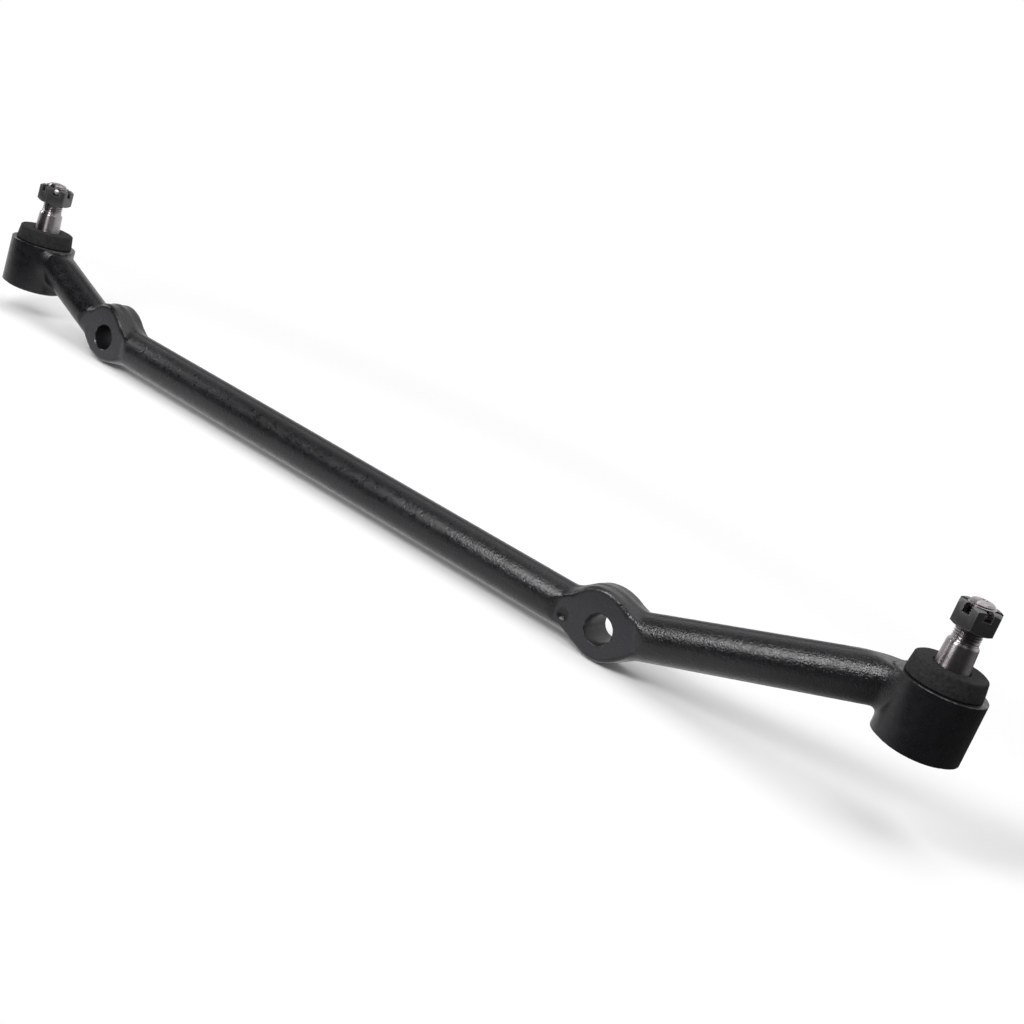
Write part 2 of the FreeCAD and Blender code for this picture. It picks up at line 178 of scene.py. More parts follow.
def settle(obj):
    """Puts the work of the object's modifiers into its mesh."""
    bpy.context.view_layer.update()
    evaluated = obj.evaluated_get(bpy.context.evaluated_depsgraph_get())
    mesh = bpy.data.meshes.new_from_object(evaluated)
    obj.modifiers.clear()
    obj.data = mesh


def onto_skin(points, step=0.02, least_slope=0.25, longest_move=2.0):
    """Moves points along the distance field until they lie on the forged skin."""
    for _ in range(3):
        here = blank_distance(points)
        slope = np.stack([(blank_distance(points + step * axis) - here) / step for axis in np.eye(3)], axis=1)
        size = np.maximum((slope ** 2).sum(1), least_slope)
        points = points - np.clip(here / size, -longest_move, longest_move)[:, None] * slope
    return points


forging = rough_stock()
bpy.context.scene.collection.objects.link(forging)
remesh = forging.modifiers.new("skin", "REMESH")
remesh.mode = "VOXEL"
remesh.voxel_size = skin_pitch * mm
settle(forging)

# The skin's points are drawn onto the blank's surface, then evened out along it.
count = len(forging.data.vertices)
skin = np.empty(count * 3)
forging.data.vertices.foreach_get("co", skin)
skin = skin.reshape(-1, 3) / mm
edges = np.empty(len(forging.data.edges) * 2, dtype=int)
forging.data.edges.foreach_get("vertices", edges)
edges = edges.reshape(-1, 2)
neighbours = np.bincount(edges.ravel(), minlength=count)
skin = onto_skin(skin)
for _ in range(4):
    spread = np.stack([np.bincount(edges[:, 0], skin[edges[:, 1], k], count)
                       + np.bincount(edges[:, 1], skin[edges[:, 0], k], count) for k in range(3)], axis=1)
    skin = onto_skin(0.5 * skin + 0.5 * spread / neighbours[:, None])
forging.data.vertices.foreach_set("co", (skin * mm).ravel())
forging.data.update()


def lathe(bm, profile, steps, place=Matrix.Identity(4)):
    """Turns a run of (radius, height) points about Z and sets it by the place matrix."""
    around = [(cos(2 * pi * k / steps), sin(2 * pi * k / steps)) for k in range(steps)]
    rings = []
    for r, z in profile:
        if r == 0:
            rings.append([bm.verts.new(place @ Vector((0, 0, z * mm)))] * steps)
        else:
            rings.append([bm.verts.new(place @ Vector((r * x * mm, r * y * mm, z * mm))) for x, y in around])
    for low, high in zip(rings, rings[1:]):
        for k in range(steps):
            corners = dict.fromkeys((low[k], low[(k + 1) % steps], high[(k + 1) % steps], high[k]))
            if len(corners) > 2:
                bm.faces.new(list(corners))


# What is machined away, as (radius, height): from the rim in a socket, from the middle in a hole.
facing_r, facing_h, rim_chamfer, rim_ease = 27, 8, 0.7, 0.35
throat_wide_r, throat_r, throat_h = 13.3, 10.6, 7.6
bore_r, cover_top, cover_r, cover_bottom = 16, 28.9, 17.22, 31.1
lip_bore_r, lip_bottom, lip_r = 15.5, 32.1, 18.6
under_r, under_h = 24, 40
socket_cut = [
    (0, facing_h), (facing_r, facing_h), (facing_r, -rim_chamfer),
    (socket_r + rim_chamfer - rim_ease, -rim_chamfer), (socket_r - rim_ease, 0),
    (throat_wide_r, 0), (throat_r, -throat_h), (bore_r, -throat_h), (bore_r, -cover_top),
    (cover_r, -cover_top), (cover_r, -cover_bottom), (lip_bore_r, -cover_bottom), (lip_bore_r, -lip_bottom),
    (17.6, -lip_bottom), (18.3, -31.8), (lip_r, -cover_bottom), (lip_r, -socket_h),
    (under_r, -socket_h), (under_r, -under_h), (0, -under_h)]
hole_wide_r, hole_narrow_r, hole_half, hole_over = 8.15, 6.86, 9.9, 14
hole_cut = [
    (0, -hole_over), (8.95, -hole_over), (8.95, -10.7), (hole_wide_r, -hole_half),
    (hole_narrow_r, hole_half), (7.66, 10.7), (7.66, hole_over), (0, hole_over)]
machining = bmesh.new()
for end in ends.values():
    lathe(machining, socket_cut[::-1], 144, end["on_rim"])
    hole_place = Matrix.Translation(Vector((end["hole"], 0, 0)) * mm) @ Matrix.Rotation(-pi / 2, 4, "X")
    lathe(machining, hole_cut, 96, hole_place)
bmesh.ops.recalc_face_normals(machining, faces=machining.faces)
machining_mesh = bpy.data.meshes.new("machining")
machining.to_mesh(machining_mesh)
machining.free()
machining_tool = bpy.data.objects.new("machining", machining_mesh)
bpy.context.scene.collection.objects.link(machining_tool)
cut = forging.modifiers.new("machined", "BOOLEAN")
cut.operation = "DIFFERENCE"
cut.solver = "EXACT"
cut.object = machining_tool
cut.material_mode = "TRANSFER"


def linear(code):
    """An sRGB hex colour as linear red, green, blue and alpha."""
    parts = [int(code[k:k + 2], 16) / 255 for k in (1, 3, 5)]
    return [c / 12.92 if c <= 0.04045 else ((c + 0.055) / 1.055) ** 2.4 for c in parts] + [1.0]


def add_node(tree, kind, settings=None, links=None, stops=()):
    """Adds a node, sets its properties, unlinked sockets and colour stops, and links the rest."""
    node = tree.nodes.new(kind)
    for name, value in (settings or {}).items():
        if isinstance(name, str) and hasattr(node, name):
            setattr(node, name, value)
        else:
            node.inputs[name].default_value = value
    for k, (position, code) in enumerate(stops):
        node.color_ramp.elements[k].position = position
        node.color_ramp.elements[k].color = linear(code)
    for name, socket in (links or {}).items():
        tree.links.new(socket, node.inputs[name])
    return node


def new_material(name):
    """An empty node material, with its output and a link from the object's own coordinates."""
    material = bpy.data.materials.new(name)
    material.use_nodes = True
    tree = material.node_tree
    tree.nodes.clear()
    output = tree.nodes.new("ShaderNodeOutputMaterial")
    where = tree.nodes.new("ShaderNodeTexCoord")
    return material, tree, output, {"Vector": where.outputs["Object"]}


def enamel_material(name, low, high, rough_low, rough_high, grain):
    """Satin black enamel: brown-black to blue-black patches, grain in the steel below it, and bare
    steel rubbed through in broken lines along proud edges."""
    material, tree, output, here = new_material(name)
    # Patches where the dip ran thinner, some 30 mm across, with finer mottling in them.
    patches = add_node(tree, "ShaderNodeTexNoise", {"Scale": 32.0, "Detail": 6.0, "Roughness": 0.6}, here)
    tone = add_node(tree, "ShaderNodeValToRGB", None, {"Fac": patches.outputs["Fac"]},
                    ((0.35, low), (0.65, high)))
    # Scale pits of the forged skin, 1 mm across, over shallow 4 mm hammer waves. Both are
    # shallower where the steel was coined or machined.
    coined = add_node(tree, "ShaderNodeAttribute", {"attribute_name": "coined"})
    pits = add_node(tree, "ShaderNodeTexNoise", {"Scale": 950.0, "Detail": 2.0, "Roughness": 0.55}, here)
    waves = add_node(tree, "ShaderNodeTexNoise", {"Scale": 240.0, "Detail": 1.0}, here)
    depth = add_node(tree, "ShaderNodeMapRange", {"To Min": grain, "To Max": grain * 0.25},
                     {"Value": coined.outputs["Fac"]})
    skin_bump = add_node(tree, "ShaderNodeBump", {"Distance": 0.0003},
                         {"Height": pits.outputs["Fac"], "Strength": depth.outputs[0]})
    wave_bump = add_node(tree, "ShaderNodeBump", {"Distance": 0.0003, "Strength": 0.25},
                         {"Height": waves.outputs["Fac"], "Normal": skin_bump.outputs[0]})
    rough = add_node(tree, "ShaderNodeMapRange",
                     {"From Min": 0.3, "From Max": 0.7, "To Min": rough_low, "To Max": rough_high},
                     {"Value": waves.outputs["Fac"]})
    # Rubbed edges: where a 0.6 mm rounding would turn the surface, broken up by 2 mm noise.
    rounded = add_node(tree, "ShaderNodeBevel", {"samples": 6, "Radius": 0.0006})
    flat = tree.nodes.new("ShaderNodeNewGeometry")
    turned = add_node(tree, "ShaderNodeVectorMath", {"operation": "DOT_PRODUCT"},
                      {0: rounded.outputs[0], 1: flat.outputs["Normal"]})
    proud = add_node(tree, "ShaderNodeMapRange", {"From Min": 0.985, "From Max": 0.92},
                     {"Value": turned.outputs["Value"]})
    breaks = add_node(tree, "ShaderNodeTexNoise", {"Scale": 420.0, "Detail": 3.0}, here)
    gaps = add_node(tree, "ShaderNodeMapRange", {"From Min": 0.5, "From Max": 0.62},
                    {"Value": breaks.outputs["Fac"]})
    rubbed = add_node(tree, "ShaderNodeMath", {"operation": "MULTIPLY"},
                      {0: proud.outputs[0], 1: gaps.outputs[0]})
    # The coined faces of the eyes are painted a greyer tone: a painted sheen that stands in for the brighter
    # reflection their smooth faces show.
    face = add_node(tree, "ShaderNodeAttribute", {"attribute_name": "face"})
    tone_with_painted_sheen = add_node(tree, "ShaderNodeMix", {"data_type": "RGBA", 7: linear("#222226")},
                    {0: face.outputs["Fac"], 6: tone.outputs[0]})
    paint = add_node(tree, "ShaderNodeBsdfPrincipled", {"IOR": 1.5},
                     {"Base Color": tone_with_painted_sheen.outputs[2], "Roughness": rough.outputs[0],
                      "Normal": wave_bump.outputs[0]})
    bare = add_node(tree, "ShaderNodeBsdfPrincipled",
                    {"Base Color": linear("#8d8a8c"), "Metallic": 1.0, "Roughness": 0.4},
                    {"Normal": skin_bump.outputs[0]})
    both = add_node(tree, "ShaderNodeMixShader", None,
                    {0: rubbed.outputs[0], 1: paint.outputs[0], 2: bare.outputs[0]})
    tree.links.new(both.outputs[0], output.inputs["Surface"])
    return material


def smooth_but_sharp(obj, degrees_sharp):
    """Smooth shading, with the edges that turn more than this kept sharp."""
    obj.data.polygons.foreach_set("use_smooth", [True] * len(obj.data.polygons))
    obj.data.set_sharp_from_angle(angle=radians(degrees_sharp))


enamel = enamel_material("black_chassis_enamel_on_forged_skin", "#09090b", "#121215", 0.24, 0.36, 0.9)
enamel_cut = enamel_material("black_chassis_enamel_on_machined_steel", "#0c0c0e", "#151517", 0.3, 0.42, 0.15)
forging.data.materials.append(enamel)
machining_tool.data.materials.append(enamel_cut)
settle(forging)
bpy.data.objects.remove(machining_tool)
smooth_but_sharp(forging, 35)

# The enamel reads where the skin was coined flat: on the eyes' faces and the sockets' walls.
count = len(forging.data.vertices)
places, slopes = np.empty(count * 3), np.empty(count * 3)
forging.data.vertices.foreach_get("co", places)
forging.data.vertices.foreach_get("normal", slopes)
x, y, z = places.reshape(-1, 3).T / mm
near_flat, near_wall, square_on = 0.3, 0.2, 0.97
on_flat = np.abs(np.abs(y) - eye_thickness / 2) < near_flat
on_flat &= np.abs(slopes.reshape(-1, 3)[:, 1]) > square_on
on_wall = np.zeros(count, dtype=bool)
for end in ends.values():
    on_wall |= np.abs(np.hypot(x - end["socket_x"], y) - socket_r) < near_wall
# The face mask also carries the painted sheen on the eyes' faces.
for name, here in (("coined", on_flat | on_wall), ("face", on_flat)):
    forging.data.attributes.new(name, "FLOAT", "POINT").data.foreach_set("value", np.where(here, 1.0, 0.0))
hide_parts("link_forging")
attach(forging, "link")

# Ball studs: forged and turned from alloy steel, with a rolled 1/2-20 thread and a drilled
# cotter hole, and left bright under a film of oil. The ball is held between the seats.
turned_steel, tree, output, here = new_material("oiled_turned_steel")
# Turning marks are about 0.1 mm apart; they are drawn 0.4 mm apart so that they show.
stretched = add_node(tree, "ShaderNodeMapping", {"Scale": (60, 60, 2500)}, here)
marks = add_node(tree, "ShaderNodeTexNoise", {"Scale": 1.0, "Detail": 2.0}, {"Vector": stretched.outputs[0]})
# Soft stains of oil, some 6 mm wide, dull the steel unevenly.
stains = add_node(tree, "ShaderNodeTexNoise", {"Scale": 160.0, "Detail": 4.0}, here)
tone = add_node(tree, "ShaderNodeValToRGB", None, {"Fac": stains.outputs["Fac"]},
                ((0.3, "#8a8385"), (0.7, "#b5afb0")))
rough = add_node(tree, "ShaderNodeMapRange", {"To Min": 0.24, "To Max": 0.42}, {"Value": marks.outputs["Fac"]})
grooves = add_node(tree, "ShaderNodeBump", {"Strength": 0.35, "Distance": 0.00004},
                   {"Height": marks.outputs["Fac"]})
# The marks run round the shank, so they draw its highlights out along it.
round_z = add_node(tree, "ShaderNodeTangent", {"direction_type": "RADIAL", "axis": "Z"})
shader = add_node(tree, "ShaderNodeBsdfPrincipled",
                  {"Metallic": 1.0, "Anisotropic": 0.85, "Anisotropic Rotation": 0.25},
                  {"Base Color": tone.outputs[0], "Roughness": rough.outputs[0],
                   "Normal": grooves.outputs[0], "Tangent": round_z.outputs[0]})
tree.links.new(shader.outputs["BSDF"], output.inputs["Surface"])

stud_steps = 96
thread_pitch, thread_depth = 1.27, 0.76
thread_r, thread_end_r = 6.35, 4.95
thread_low, thread_chamfer, thread_high = 21.3, 39.5, 40.9
# One turn of the thread: how far along the pitch, and what share of the depth is cut there.
thread_form = ((0.0, 0.0), (0.06, 0.0), (0.25, 0.5), (0.42, 1.0), (0.5, 1.0), (0.58, 1.0), (0.75, 0.5),
               (0.94, 0.0))


def add_thread(bm, low, high, fade_low, fade_high, extra=0.0):
    """The skin of a right-hand thread between two heights, its rows climbing one pitch a turn.
    It fades out towards both ends and is cut to a cone above thread_chamfer."""
    cone = (thread_r - thread_end_r) / (thread_high - thread_chamfer)
    first = int((low - thread_low) / thread_pitch) - 2
    last = int((high - thread_low) / thread_pitch) + 2
    rows = []
    for turn in range(first, last + 1):
        for share, cut in thread_form:
            row = []
            for k in range(stud_steps):
                z = min(max(thread_low + thread_pitch * (turn + share + k / stud_steps), low), high)
                fade = min((z - low) / fade_low, (high - z) / fade_high, 1)
                r = thread_r - cut * thread_depth * fade
                if z > thread_chamfer:
                    r = min(r, thread_r - (z - thread_chamfer) * cone)
                angle = 2 * pi * k / stud_steps
                row.append(bm.verts.new(((r + extra) * cos(angle) * mm, (r + extra) * sin(angle) * mm, z * mm)))
            rows.append(row)
    next_turn = len(thread_form)
    for low_row, high_row, low_next, high_next in zip(rows, rows[1:], rows[next_turn:], rows[next_turn + 1:]):
        for k in range(stud_steps - 1):
            bm.faces.new((low_row[k], low_row[k + 1], high_row[k + 1], high_row[k]))
        bm.faces.new((low_row[-1], low_next[0], high_next[0], high_row[-1]))


def finished_mesh(bm, name):
    """Closes the seams of a built-up solid and turns it into a mesh."""
    bmesh.ops.remove_doubles(bm, verts=bm.verts, dist=0.002 * mm)
    bmesh.ops.dissolve_degenerate(bm, edges=bm.edges, dist=0.0005 * mm)
    loose = [v for v in bm.verts if not v.link_faces]
    bmesh.ops.delete(bm, geom=loose, context="VERTS")
    bmesh.ops.recalc_face_normals(bm, faces=bm.faces)
    mesh = bpy.data.meshes.new(name)
    bm.to_mesh(mesh)
    bm.free()
    return mesh


def new_object(name, mesh, material):
    obj = bpy.data.objects.new(name, mesh)
    bpy.context.scene.collection.objects.link(obj)
    obj.data.materials.append(material)
    return obj


def carve(obj, name, bm, operation="DIFFERENCE"):
    """One boolean step with a tool that is used up."""
    tool = new_object(name, finished_mesh(bm, name), obj.data.materials[0])
    step = obj.modifiers.new("carve", "BOOLEAN")
    step.operation = operation
    step.solver = "EXACT"
    step.object = tool
    settle(obj)
    bpy.data.objects.remove(tool)


def copy_onto_rim(master, name, side):
    """A copy of a stud or nut, turned to its own angle and set on the socket of this side."""
    obj = bpy.data.objects.new(name, master.data.copy())
    bpy.context.scene.collection.objects.link(obj)
    obj.data.transform(ends[side]["on_rim"] @ Matrix.Rotation(turns[side], 4, "Z"))
    return obj


# How far each stud and its nut are turned about the stud's axis.
turns = {"right": radians(-51.2), "left": radians(-37.4)}
ball_r, ball_z, ball_steps = 12.0, -14.2, 16
ball_low, ball_high = -50.1, 54.9
ball_flat_r, ball_flat_z = 7.5, -23.4
cotter_r, cotter_z, cotter_length = 1.6, 36.7, 26
shank = [(0, ball_flat_z), (ball_flat_r, ball_flat_z)]
for k in range(ball_steps + 1):
    angle = radians(ball_low + k * (ball_high - ball_low) / ball_steps)
    shank.append((ball_r * cos(angle), ball_z + ball_r * sin(angle)))
neck = [(6.9, -3.9), (6.9, -0.5), (7.05, 0.4), (8.1, 4.4), (8.2, 4.8)]
taper = [(8.21, 5.3), (7.36, 19.7)]
shoulder = [(7.32, 20.1), (7.2, 20.4), (6.4, 21.25), (thread_r, thread_low)]
# The tip is domed round a centre-drilled dimple.
tip = [(thread_end_r, thread_high), (4.4, 41.1), (3.6, 41.27), (2.6, 41.45), (1.75, 41.58), (1.45, 41.5),
       (1.1, 41.05), (0, 40.1)]
bm = bmesh.new()
lathe(bm, shank + neck + taper + shoulder, stud_steps)
add_thread(bm, thread_low, thread_high, fade_low=2.5, fade_high=0.2)
lathe(bm, tip, stud_steps)
stud_master = new_object("stud_master", finished_mesh(bm, "stud"), turned_steel)
bm = bmesh.new()
bmesh.ops.create_cone(bm, cap_ends=True, segments=48, radius1=cotter_r * mm, radius2=cotter_r * mm,
                      depth=cotter_length * mm,
                      matrix=Matrix.Translation((0, 0, cotter_z * mm)) @ Matrix.Rotation(pi / 2, 4, "Y"))
carve(stud_master, "cotter_drill", bm)
smooth_but_sharp(stud_master, 28)
for side in ends:
    stud = copy_onto_rim(stud_master, side + "_stud", side)
    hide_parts(side + "_ball_stud")
    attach(stud, side + "_stud")
bpy.data.objects.remove(stud_master)


def finish_solids(endings, material):
    """Gives the solids with these endings, at both ends of the link, one material."""
    for side in ends:
        for ending in endings:
            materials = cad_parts[side + ending].data.materials
            materials.clear()
            materials.append(material)


# Bearing seats: sintered iron rings soaked in grease, the upper one pressed into the socket
# and the lower one free to slide, so that the spring can take up wear. They stay as built.
sintered, tree, output, here = new_material("greased_sintered_iron")
# Sintered iron's pores are about 0.05 mm; drawn at 0.3 mm.
pores = add_node(tree, "ShaderNodeTexVoronoi", {"Scale": 3300.0}, here)
pits = add_node(tree, "ShaderNodeBump", {"Strength": 0.4, "Distance": 0.00004},
                {"Height": pores.outputs["Distance"]})
shader = add_node(tree, "ShaderNodeBsdfPrincipled",
                  {"Base Color": linear("#6b6560"), "Metallic": 1.0, "Roughness": 0.45},
                  {"Normal": pits.outputs[0]})
tree.links.new(shader.outputs["BSDF"], output.inputs["Surface"])
finish_solids(("_upper_seat", "_lower_seat"), sintered)

# Preload springs: coned discs stamped from spring steel, squeezed between cover and lower seat.
# Tempering has left them blue in patches, some 11 mm across.
spring_steel, tree, output, here = new_material("blued_spring_steel")
temper = add_node(tree, "ShaderNodeTexNoise", {"Scale": 90.0}, here)
tone = add_node(tree, "ShaderNodeValToRGB", None, {"Fac": temper.outputs["Fac"]},
                ((0.0, "#4a5060"), (1.0, "#7f7c78")))
shader = add_node(tree, "ShaderNodeBsdfPrincipled", {"Metallic": 1.0, "Roughness": 0.35},
                  {"Base Color": tone.outputs[0]})
tree.links.new(shader.outputs["BSDF"], output.inputs["Surface"])
finish_solids(("_preload_spring",), spring_steel)

# Cover plates: pressed steel discs with a tapped hub, held by the socket's rolled lip and
# dipped in the same enamel as the link.
cover_enamel, tree, output, here = new_material("black_chassis_enamel_on_pressed_steel")
# The dipped enamel's orange peel is about 2 mm across.
peel = add_node(tree, "ShaderNodeTexNoise", {"Scale": 500.0, "Detail": 2.0}, here)
waves = add_node(tree, "ShaderNodeBump", {"Strength": 0.3, "Distance": 0.00008},
                 {"Height": peel.outputs["Fac"]})
shader = add_node(tree, "ShaderNodeBsdfPrincipled",
                  {"Base Color": linear("#161618"), "Roughness": 0.35, "IOR": 1.5},
                  {"Normal": waves.outputs[0]})
tree.links.new(shader.outputs["BSDF"], output.inputs["Surface"])
finish_solids(("_cover_plate",), cover_enamel)

# Dust seals: rings of closed-cell black rubber foam, slipped over the stud's taper. They sit
# on the socket's rim.
foam, tree, output, here = new_material("black_foam_rubber")
# Cells of the foam, 0.5 to 1 mm across, under a faint dusting.
cells = add_node(tree, "ShaderNodeTexVoronoi", {"Scale": 1500.0}, here)
dust = add_node(tree, "ShaderNodeTexNoise", {"Scale": 700.0, "Detail": 3.0}, here)
tone = add_node(tree, "ShaderNodeValToRGB", None, {"Fac": dust.outputs["Fac"]},
                ((0.35, "#161617"), (0.7, "#252527")))
dents = add_node(tree, "ShaderNodeBump", {"Strength": 0.6, "Distance": 0.00015},
                 {"Height": cells.outputs["Distance"]})
shader = add_node(tree, "ShaderNodeBsdfPrincipled",
                  {"Roughness": 0.85, "IOR": 1.52, "Specular IOR Level": 0.3},
                  {"Base Color": tone.outputs[0], "Normal": dents.outputs[0]})
tree.links.new(shader.outputs["BSDF"], output.inputs["Surface"])

seal_bore, seal_foot_r, seal_top_r, seal_h = 8.55, 18.0, 17.0, 9.0
seal_rows, foot_rows, top_rows = 12, 6, 8
foot_round, foot_round_h = 0.5, 0.45
top_round, bore_round = 0.55, 0.4
wall_h = seal_h - 1.1
foot_w = seal_foot_r - foot_round - seal_bore
top_w = seal_top_r - top_round - seal_bore - bore_round
seal_profile = [(seal_bore, 0.0)]
seal_profile += [(seal_bore + foot_w * k / foot_rows, 0.0) for k in range(1, foot_rows + 1)]
seal_profile += [(seal_foot_r, foot_round_h)]
seal_profile += [(seal_foot_r + (seal_top_r - seal_foot_r) * k / seal_rows,
                  foot_round_h + wall_h * k / seal_rows) for k in range(1, seal_rows + 1)]
seal_profile += [(seal_top_r - 0.18, seal_h - 0.25), (seal_top_r - top_round, seal_h)]
seal_profile += [(seal_top_r - top_round - top_w * k / top_rows, seal_h) for k in range(1, top_rows + 1)]
seal_profile += [(seal_bore + 0.1, seal_h - 0.2)]
seal_profile += [(seal_bore, seal_h - 0.5 - (seal_h - 0.5) * k / seal_rows) for k in range(seal_rows + 1)]
# The foam's skin is uneven: lumps some 8 mm long, with finer ones of 1 mm on them.
lump_h, lump_rate, fine_h, fine_rate = 0.16, 0.12, 0.05, 0.9
for side, end in ends.items():
    bm = bmesh.new()
    lathe(bm, seal_profile, 128)
    mesh = finished_mesh(bm, side + "_seal")
    own_lumps = Vector((0, 0, len(side) * 7))
    for vertex in mesh.vertices:
        at = vertex.co / mm
        if hypot(at.x, at.y) > seal_bore + 0.3:
            lump = lump_h * noise.noise(at * lump_rate + own_lumps) + fine_h * noise.noise(at * fine_rate)
            out = Vector((at.x, at.y, 0)).normalized()
            vertex.co += (out * lump + Vector((0, 0, 0.6 * lump if at.z / seal_h > 0.9 else 0))) * mm
    mesh.transform(end["on_rim"])
    seal = new_object(side + "_seal", mesh, foam)
    smooth_but_sharp(seal, 50)
    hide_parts(side + "_dust_seal")
    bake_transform(seal)

# Slotted nuts: cold-formed steel hexagons with six slots sawn for the cotter pin, black
# oxide finish under oil. They are screwed onto the studs and ride with them.
black_oxide, tree, output, here = new_material("oiled_black_oxide_steel")
# The oxide is mottled in grains of 1.4 mm.
mottle = add_node(tree, "ShaderNodeTexNoise", {"Scale": 700.0, "Detail": 5.0}, here)
tone = add_node(tree, "ShaderNodeValToRGB", None, {"Fac": mottle.outputs["Fac"]},
                ((0.3, "#161617"), (0.75, "#1e1e1f")))
# Oxide is rubbed off where the edges stand proud, within a 0.5 mm rounding.
rounded = add_node(tree, "ShaderNodeBevel", {"samples": 8, "Radius": 0.0005})
flat = add_node(tree, "ShaderNodeNewGeometry")
apart = add_node(tree, "ShaderNodeVectorMath", {"operation": "DOT_PRODUCT"},
                 {0: rounded.outputs[0], 1: flat.outputs["Normal"]})
rubbed = add_node(tree, "ShaderNodeMapRange",
                  {"From Min": 0.995, "From Max": 0.93, "To Min": 0.0, "To Max": 0.45},
                  {"Value": apart.outputs["Value"]})
worn = add_node(tree, "ShaderNodeMix", {"data_type": "RGBA", 7: linear("#a8a6a6")},
                {0: rubbed.outputs[0], 6: tone.outputs[0]})
skin_bump = add_node(tree, "ShaderNodeBump", {"Strength": 0.3, "Distance": 0.00005},
                     {"Height": mottle.outputs["Fac"]})
bare_share = add_node(tree, "ShaderNodeMath", {"operation": "MULTIPLY", 1: 1.8}, {0: rubbed.outputs[0]})
shader = add_node(tree, "ShaderNodeBsdfPrincipled", {"Roughness": 0.4, "IOR": 1.9},
                  {"Base Color": worn.outputs[2], "Metallic": bare_share.outputs[0],
                   "Normal": skin_bump.outputs[0]})
tree.links.new(shader.outputs["BSDF"], output.inputs["Surface"])

nut_flats = 19.05
nut_low, nut_high = 27.8, 38.9
nut_corner_r = nut_flats / 2 / cos(radians(30))
nut_face_r = 9.05
nut_rise = (nut_corner_r - nut_face_r) * tan(radians(30))
slot_depth, slot_w = 4.4, 4
saw_length, saw_h = 40, 10
edge_round = 0.22
tap_low, tap_high, tap_gap = nut_low - 1, nut_high + 0.55, 0.04
sink_r, sink_tip_r, sink_depth = 8.0, 5.2, 1.8
corners = [(nut_corner_r * cos(radians(60 * k + 30)) * mm, nut_corner_r * sin(radians(60 * k + 30)) * mm)
           for k in range(6)]
nut_mesh = bpy.data.meshes.new("nut")
flats = [(k, (k + 1) % 6, (k + 1) % 6 + 6, k + 6) for k in range(6)]
nut_mesh.from_pydata([(x, y, height * mm) for height in (nut_low, nut_high) for x, y in corners], [],
                     [tuple(range(5, -1, -1)), tuple(range(6, 12))] + flats)
nut_master = new_object("nut_master", nut_mesh, black_oxide)
# The hexagon's corners are turned to a cone at both faces.
bm = bmesh.new()
lathe(bm, [(0, nut_low), (nut_face_r, nut_low), (nut_corner_r + 0.02, nut_low + nut_rise),
           (nut_corner_r + 0.02, nut_high - nut_rise), (nut_face_r, nut_high), (0, nut_high)], stud_steps)
carve(nut_master, "nut_envelope", bm, "INTERSECT")
for k in range(3):
    bm = bmesh.new()
    raised = Matrix.Translation((0, 0, (nut_high - slot_depth + saw_h / 2) * mm))
    blade = Matrix.Diagonal((saw_length * mm, slot_w * mm, saw_h * mm, 1))
    bmesh.ops.create_cube(bm, size=1, matrix=Matrix.Rotation(radians(60 * k), 4, "Z") @ raised @ blade)
    carve(nut_master, "slot_saw", bm)
ease = nut_master.modifiers.new("eased", "BEVEL")
ease.width = edge_round * mm
ease.segments = 2
ease.limit_method = "ANGLE"
ease.angle_limit = radians(25)
settle(nut_master)
bm = bmesh.new()
lathe(bm, [(0, tap_low), (thread_r + tap_gap, tap_low)], stud_steps)
add_thread(bm, tap_low, tap_high, fade_low=0.9, fade_high=0.5, extra=tap_gap)
lathe(bm, [(thread_r + tap_gap, tap_high), (0, tap_high)], stud_steps)
carve(nut_master, "tap", bm)
bm = bmesh.new()
for face_z, way in ((nut_low, 1), (nut_high, -1)):
    lathe(bm, [(0, face_z - way), (sink_r, face_z - way), (sink_tip_r, face_z + sink_depth * way),
               (0, face_z + sink_depth * way)], stud_steps)
carve(nut_master, "countersink", bm)
smooth_but_sharp(nut_master, 30)
for side in ends:
    nut = copy_onto_rim(nut_master, side + "_nut", side)
    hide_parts(side + "_slotted_nut")
    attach(nut, side + "_stud")
bpy.data.objects.remove(nut_master)

# Floor: a white board under the part. Past the part's own shadow the camera sees plain white.
floor_z, floor_reach = -17.4, 8000
floor_mesh = bpy.data.meshes.new("floor")
floor_mesh.from_pydata([(x * floor_reach * mm, y * floor_reach * mm, floor_z * mm)
                        for x, y in ((-1, -1), (1, -1), (1, 1), (-1, 1))], [], [(0, 1, 2, 3)])
board, tree, output, here = new_material("white_board")
light_path = add_node(tree, "ShaderNodeLightPath")
# The board fades to white towards the edge of an oval, 0.62 by 0.42 m from the part's middle.
from_part = add_node(tree, "ShaderNodeMapping", {"Location": (-0.22, 0, 0), "vector_type": "POINT"}, here)
squeezed = add_node(tree, "ShaderNodeVectorMath", {"operation": "MULTIPLY", 1: (1 / 0.62, 1 / 0.42, 0)},
                    {0: from_part.outputs[0]})
far = add_node(tree, "ShaderNodeVectorMath", {"operation": "LENGTH"}, {0: squeezed.outputs[0]})
away = add_node(tree, "ShaderNodeMapRange", {"From Min": 0.68, "From Max": 0.95},
                {"Value": far.outputs["Value"]})
plain = add_node(tree, "ShaderNodeMath", {"operation": "MULTIPLY"},
                 {0: away.outputs[0], 1: light_path.outputs["Is Camera Ray"]})
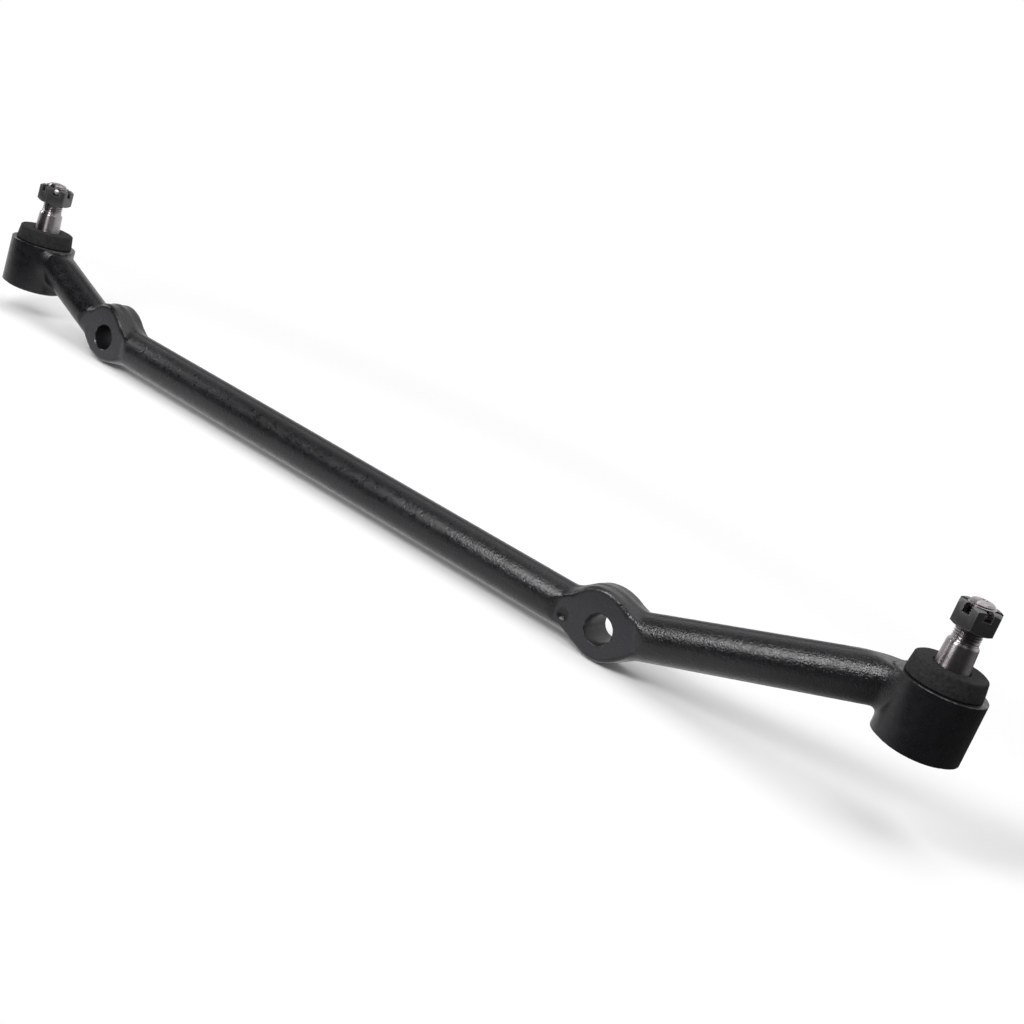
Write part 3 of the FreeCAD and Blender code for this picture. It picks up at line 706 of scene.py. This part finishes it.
# What the enamel mirrors is a painted glow: for glossy rays the board glows brightly under the part
# and only dimly in front of it and past its right end.
place = add_node(tree, "ShaderNodeSeparateXYZ", None, here)
lit_y = add_node(tree, "ShaderNodeMapRange",
                 {"interpolation_type": "SMOOTHSTEP", "From Min": -0.16, "From Max": -0.07},
                 {"Value": place.outputs["Y"]})
lit_x = add_node(tree, "ShaderNodeMapRange",
                 {"interpolation_type": "SMOOTHSTEP", "From Min": 0.58, "From Max": 0.44},
                 {"Value": place.outputs["X"]})
lit = add_node(tree, "ShaderNodeMath", {"operation": "MULTIPLY"}, {0: lit_x.outputs[0], 1: lit_y.outputs[0]})
shown = add_node(tree, "ShaderNodeMapRange", {"To Min": 0.06, "To Max": 0.8}, {"Value": lit.outputs[0]})
# The lamps fall mostly in front of the bar, so the board is a little greyer there and looks even.
from_lamps = add_node(tree, "ShaderNodeVectorMath", {"operation": "DISTANCE", 1: (0.3, -0.15, 0)},
                      {0: here["Vector"]})
even = add_node(tree, "ShaderNodeMapRange",
                {"From Min": 0.15, "From Max": 0.42, "To Min": 0.8, "To Max": 0.97},
                {"Value": from_lamps.outputs["Value"]})
diffuse = add_node(tree, "ShaderNodeBsdfDiffuse", None, {"Color": even.outputs[0]})
painted_glow = add_node(tree, "ShaderNodeEmission", {"Color": linear("#ffffff")}, {"Strength": shown.outputs[0]})
white = add_node(tree, "ShaderNodeEmission", {"Color": linear("#ffffff"), "Strength": 1.0})
near = add_node(tree, "ShaderNodeMixShader", None,
                {0: light_path.outputs["Is Glossy Ray"], 1: diffuse.outputs[0], 2: painted_glow.outputs[0]})
both = add_node(tree, "ShaderNodeMixShader", None,
                {0: plain.outputs[0], 1: near.outputs[0], 2: white.outputs[0]})
tree.links.new(both.outputs[0], output.inputs["Surface"])
floor = new_object("floor", floor_mesh, board)

# World: a studio that is pale behind and above the part and dark on the camera's side;
# the camera itself sees plain white past the floor.
world = bpy.data.worlds.new("studio")
bpy.context.scene.world = world
world.use_nodes = True
tree = world.node_tree
tree.nodes.clear()
output = tree.nodes.new("ShaderNodeOutputWorld")
light_path = add_node(tree, "ShaderNodeLightPath")
seen = add_node(tree, "ShaderNodeMath", {"operation": "MAXIMUM"},
                {0: light_path.outputs["Is Camera Ray"], 1: light_path.outputs["Is Transmission Ray"]})
way = tree.nodes.new("ShaderNodeTexCoord")
split = add_node(tree, "ShaderNodeSeparateXYZ", None, {0: way.outputs["Generated"]})
behind = add_node(tree, "ShaderNodeMapRange",
                  {"interpolation_type": "SMOOTHSTEP", "From Min": -0.4, "From Max": 0.8,
                   "To Min": 0.05, "To Max": 0.9}, {"Value": split.outputs["Y"]})
level = add_node(tree, "ShaderNodeMix", {"data_type": "FLOAT", 3: 0.45},
                 {0: light_path.outputs["Is Diffuse Ray"], 2: behind.outputs[0]})
soft = add_node(tree, "ShaderNodeBackground", {"Color": linear("#ffffff")}, {"Strength": level.outputs[0]})
white = add_node(tree, "ShaderNodeBackground", {"Color": linear("#ffffff"), "Strength": 1.0})
mixed = add_node(tree, "ShaderNodeMixShader", None,
                 {0: seen.outputs[0], 1: soft.outputs[0], 2: white.outputs[0]})
tree.links.new(mixed.outputs[0], output.inputs["Surface"])


def add_softbox(name, place, target, size, power):
    """A rectangular lamp aimed at a point; distances in millimetres, power in watts."""
    lamp = bpy.data.lights.new(name, "AREA")
    lamp.shape = "RECTANGLE"
    lamp.size, lamp.size_y = size[0] * mm, size[1] * mm
    lamp.energy = power
    obj = bpy.data.objects.new(name, lamp)
    bpy.context.scene.collection.objects.link(obj)
    obj.location = Vector(place) * mm
    obj.rotation_euler = (Vector(target) - Vector(place)).to_track_quat("-Z", "Y").to_euler()
    obj.visible_camera = False


add_softbox("overhead", (500, 0, 1400), (230, 0, 0), (1500, 1300), 9)
add_softbox("front", (180, -460, 410), (480, 0, 20), (240, 300), 3.4)
add_softbox("left", (-790, -190, 340), (20, 0, 10), (350, 350), 2.2)

# Camera: a 45 mm lens in front of the right end and above it, rolled as the photograph is.
camera_place = Vector((649.63, -568.2, 214.9))
right_way = Vector((0.768228, 0.545521, 0.33501))
forward_way = Vector((-0.474563, 0.836517, -0.273916))
up_way = right_way.cross(forward_way)
camera_data = bpy.data.cameras.new("camera")
camera_data.lens = 44.94
camera_data.sensor_width = 36
camera_data.clip_end = 50
camera = bpy.data.objects.new("camera", camera_data)
bpy.context.scene.collection.objects.link(camera)
turned = Matrix((right_way, up_way, -forward_way)).transposed().to_4x4()
camera.matrix_world = Matrix.Translation(camera_place * mm) @ turned
bpy.context.scene.camera = camera
bpy.context.scene.view_settings.view_transform = "Standard"
